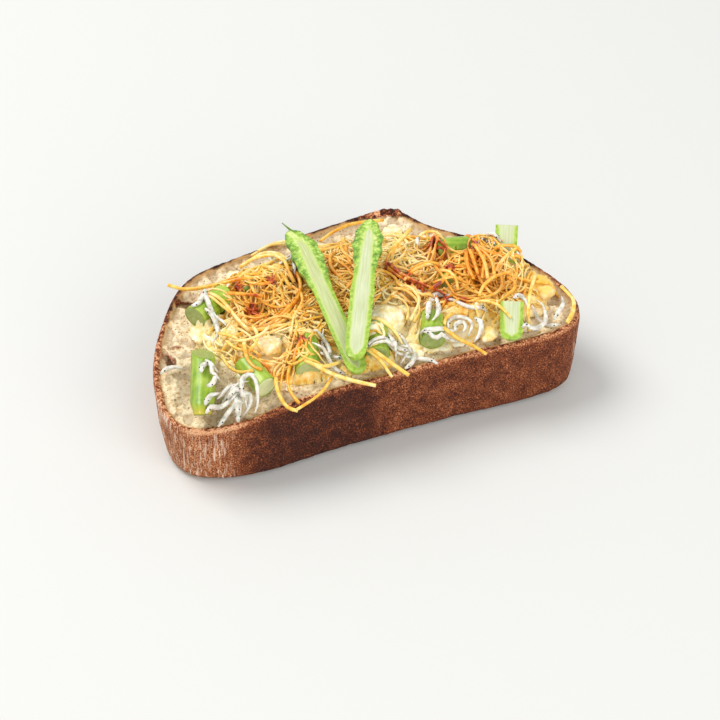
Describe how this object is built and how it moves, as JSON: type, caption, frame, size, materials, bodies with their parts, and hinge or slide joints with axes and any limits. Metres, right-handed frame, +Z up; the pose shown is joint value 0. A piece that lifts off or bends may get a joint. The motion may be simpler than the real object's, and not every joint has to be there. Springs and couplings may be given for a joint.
{
  "type": "asparagus tartine",
  "caption": "Open sandwich: a thick slice of country bread with melted cheese, whitebait, cut asparagus, a tangle of crisp golden strands and halved spears in a V.",
  "frame": {"origin": "middle of the flat cut face that the slice rests on", "axes": "+X along the slice's long flat edge, +Y towards its domed back, +Z up"},
  "size_m": [0.1656, 0.098, 0.0494],
  "materials": {
    "bread": "matte",
    "cheese": "satin",
    "strands": "satin",
    "stalk": "satin",
    "spear": "satin"
  },
  "bodies": {
    "root": {"bread_slice": "bread", "melted_cheese": "cheese", "golden_strands": "strands", "stalk_front_left": "stalk", "stalk_back_left": "stalk", "stalk_middle_left": "stalk", "stalk_front_stub": "stalk", "stalk_middle_right": "stalk", "stalk_front_right": "stalk", "stalk_half_right": "stalk", "stalk_back_right": "stalk", "stalk_half_back": "stalk", "stalk_hidden_left": "stalk", "stalk_hidden_right": "stalk", "spear_half_left": "spear", "spear_half_right": "spear"}
  },
  "joints": []
}
